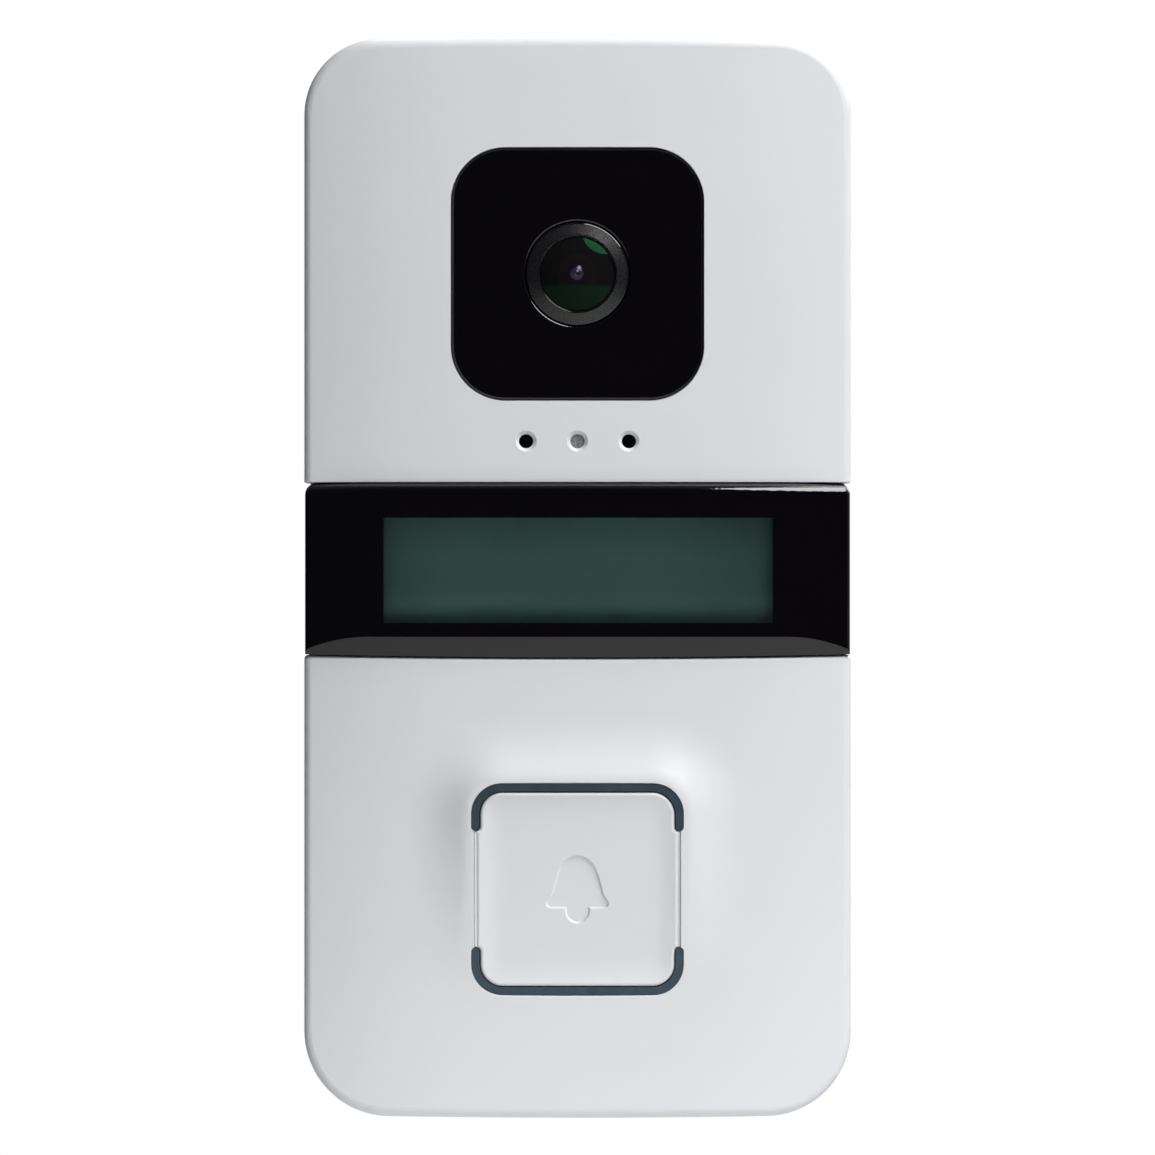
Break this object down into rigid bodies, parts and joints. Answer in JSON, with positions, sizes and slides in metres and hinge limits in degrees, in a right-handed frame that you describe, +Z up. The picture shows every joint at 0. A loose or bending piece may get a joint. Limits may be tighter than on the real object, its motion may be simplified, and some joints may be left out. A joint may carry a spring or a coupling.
{
  "type": "video door station",
  "caption": "Upright wall-mounted video door station with a square camera window, a raised black display band and a dished square call button in a split light ring.",
  "frame": {"origin": "centre of the back face, in the plane of the wall, at mid width and mid height of the body", "axes": "+X to the right seen from the street, +Y into the wall, +Z up; the front faces -Y"},
  "size_m": [0.082, 0.0343, 0.1619],
  "materials": {
    "white_satin": "satin moulded, very fine texture",
    "housing_white": "satin moulded",
    "gloss_black": "high gloss",
    "smoked_window": "high gloss, smoked",
    "light_guide": "smoked, slightly blue",
    "black_plastic": "moulded",
    "switch_grey": "moulded",
    "lens_black": "black anodised, fine bead-blasted",
    "lens_glass": "coated",
    "filter_glass": "coated",
    "ircut_black": "moulded",
    "coil_copper": "enamelled winding",
    "lcd_cell": "polarised display cell",
    "backlight_white": "diffusing",
    "circuit_green": "solder mask",
    "chip_black": "moulded epoxy",
    "relay_blue": "moulded",
    "can_aluminium": "drawn",
    "connector_cream": "moulded",
    "terminal_green": "moulded",
    "terminal_brass": "nickelled",
    "cable_white": "flexible film",
    "wire_red": "insulation",
    "acoustic_mesh": "woven, black",
    "led_clear": "clear resin",
    "pipe_grey": "granular, frosted",
    "silicone": "moulded",
    "zinc_steel": "zinc plated sheet",
    "screw_steel": "zinc plated"
  },
  "bodies": {
    "station": {"board_connectors": "connector_cream", "board_screws": "screw_steel", "button_board": "circuit_green", "button_frame": "black_plastic", "button_leds": "led_clear", "button_membrane": "silicone", "call_switch_body": "black_plastic", "camera_board": "circuit_green", "camera_window": "gloss_black", "capacitors": "can_aluminium", "display_frame": "gloss_black", "display_window": "smoked_window", "door_relay": "relay_blue", "flat_cables": "cable_white", "housing_gasket": "silicone", "housing_screws": "screw_steel", "image_sensor": "chip_black", "ir_board": "circuit_green", "ir_leds": "led_clear", "ircut_coil": "coil_copper", "lcd_backlight": "backlight_white", "lcd_board": "circuit_green", "lcd_frame": "black_plastic", "lcd_glass": "lcd_cell", "lens_barrel": "lens_black", "lens_front_glass": "lens_glass", "lens_front_ring": "lens_black", "lens_holder": "black_plastic", "lens_inner_glasses": "lens_glass", "lens_shroud": "silicone", "light_pipe": "pipe_grey", "light_ring_lower": "light_guide", "light_ring_upper": "light_guide", "lower_cover": "white_satin", "main_board": "circuit_green", "mic_seal": "silicone", "microphones": "acoustic_mesh", "processor": "chip_black", "rear_housing": "housing_white", "reset_switch_body": "black_plastic", "security_screw": "screw_steel", "sensor_board": "circuit_green", "small_screws": "screw_steel", "speaker": "black_plastic", "speaker_clip": "black_plastic", "speaker_gasket": "silicone", "speaker_wires": "wire_red", "tamper_barrel": "black_plastic", "tamper_spring": "screw_steel", "terminal_block": "terminal_green", "terminal_screws": "terminal_brass", "upper_cover": "white_satin", "wall_bracket": "zinc_steel", "wall_gasket": "silicone"},
    "call_button": {"call_button_cap": "white_satin", "call_switch_plunger": "switch_grey"},
    "ircut": {"ircut_carrier": "ircut_black", "ircut_filters": "filter_glass"},
    "tamper": {"tamper_plunger": "switch_grey"},
    "reset": {"reset_button": "switch_grey"}
  },
  "joints": [
    {"name": "call_button_press", "type": "slide", "parent": "station", "child": "call_button", "axis": [0, 1, 0], "range_m": [0, 0.0009], "stiffness_N_per_m": 2500, "deforming": ["button_membrane"]},
    {"name": "ircut_shift", "type": "slide", "parent": "station", "child": "ircut", "axis": [1, 0, 0], "range_m": [0, 0.0067]},
    {"name": "tamper_release", "type": "slide", "parent": "station", "child": "tamper", "axis": [0, 1, 0], "range_m": [0, 0.0019], "stiffness_N_per_m": 300, "deforming": ["tamper_spring"]},
    {"name": "reset_press", "type": "slide", "parent": "station", "child": "reset", "axis": [0, -1, 0], "range_m": [0, 0.0003], "stiffness_N_per_m": 4000}
  ]
}
